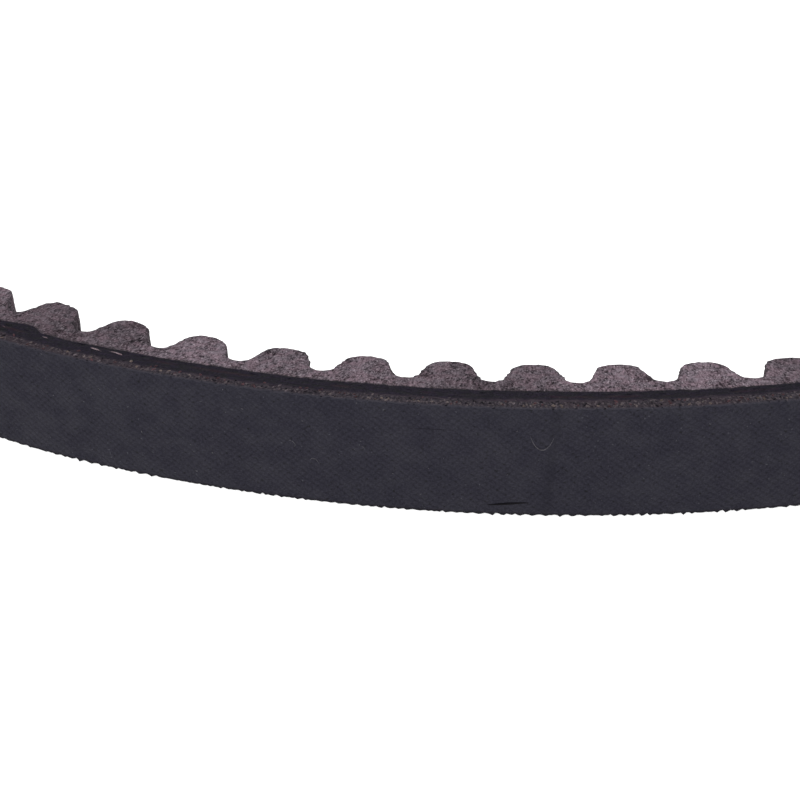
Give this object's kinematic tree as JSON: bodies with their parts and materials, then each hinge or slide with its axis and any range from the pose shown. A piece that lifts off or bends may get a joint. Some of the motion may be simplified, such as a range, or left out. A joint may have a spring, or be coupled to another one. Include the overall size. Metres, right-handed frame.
{
  "type": "v belt",
  "caption": "Endless raw-edge V-belt with slanted ground side walls, woven fabric back, wound tensile cords and moulded cogs around the inside.",
  "frame": {"origin": "centre of the loop, halfway across the belt's width", "axes": "+Z along the axis of the loop, which is parallel to the pulley shafts; X and Y lie in the plane of the loop, with a cog centred on -Y"},
  "size_m": [0.3072, 0.307, 0.013],
  "materials": {
    "back_fabric": "bias-woven polycotton fabric rubbed full of black-grey rubber, matt slate grey",
    "inner_fabric": "rubberised woven fabric whose cut yarn ends show golden, white and red-brown in dark rubber",
    "gum_rubber": "smooth near-black adhesion rubber, cut edge",
    "tensile_cord": "twisted polyester cord with a pinkish adhesive dip",
    "fibre_rubber": "fibre-loaded rubber, ground side walls purple-grey and grainy, moulded cog faces darker"
  },
  "bodies": {
    "root": {"back_fabric_outer_ply": "back_fabric", "back_fabric_inner_ply": "inner_fabric", "overcord_rubber": "gum_rubber", "tensile_cord_s_twist": "tensile_cord", "tensile_cord_z_twist": "tensile_cord", "undercord_rubber": "gum_rubber", "compression_base_ply": "fibre_rubber", "cogged_compression_rubber": "fibre_rubber"}
  },
  "joints": []
}
